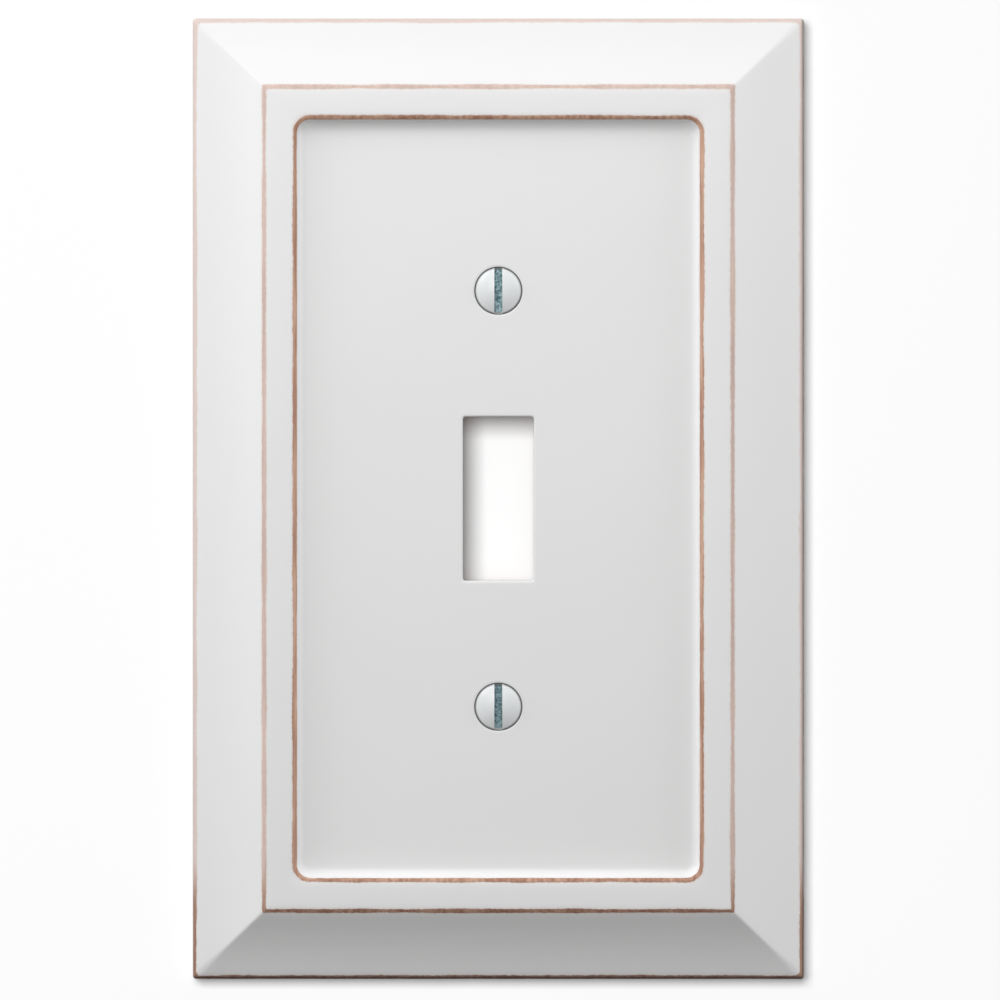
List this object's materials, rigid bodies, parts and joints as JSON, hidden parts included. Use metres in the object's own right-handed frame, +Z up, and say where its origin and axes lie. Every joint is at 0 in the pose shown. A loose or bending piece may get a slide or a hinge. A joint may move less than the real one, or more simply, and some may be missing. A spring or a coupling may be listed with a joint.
{
  "type": "toggle wall plate",
  "caption": "Milled wooden wall plate with a toggle opening and slotted oval-head mounting screws, painted white and rubbed through at the edges.",
  "frame": {"origin": "in the wall plane, midway between the screws, on the axis through the centre of the toggle opening", "axes": "upright as installed: +Z up, +X to the right seen from the front, +Y into the wall, so the front faces -Y"},
  "size_m": [0.0888, 0.0149, 0.1396],
  "materials": {
    "painted_wood": "satin white paint over wood, rubbed through at the edges",
    "painted_screw": "satin white enamel on a steel head, bare zinc slot and thread"
  },
  "bodies": {
    "plate": {"wall_plate": "painted_wood"},
    "upper_screw": {"upper_screw": "painted_screw"},
    "lower_screw": {"lower_screw": "painted_screw"}
  },
  "joints": [
    {"name": "upper_screw_out", "type": "slide", "parent": "plate", "child": "upper_screw", "axis": [0, -1, 0], "range_m": [0, 0.018]},
    {"name": "lower_screw_out", "type": "slide", "parent": "plate", "child": "lower_screw", "axis": [0, -1, 0], "range_m": [0, 0.018]}
  ]
}
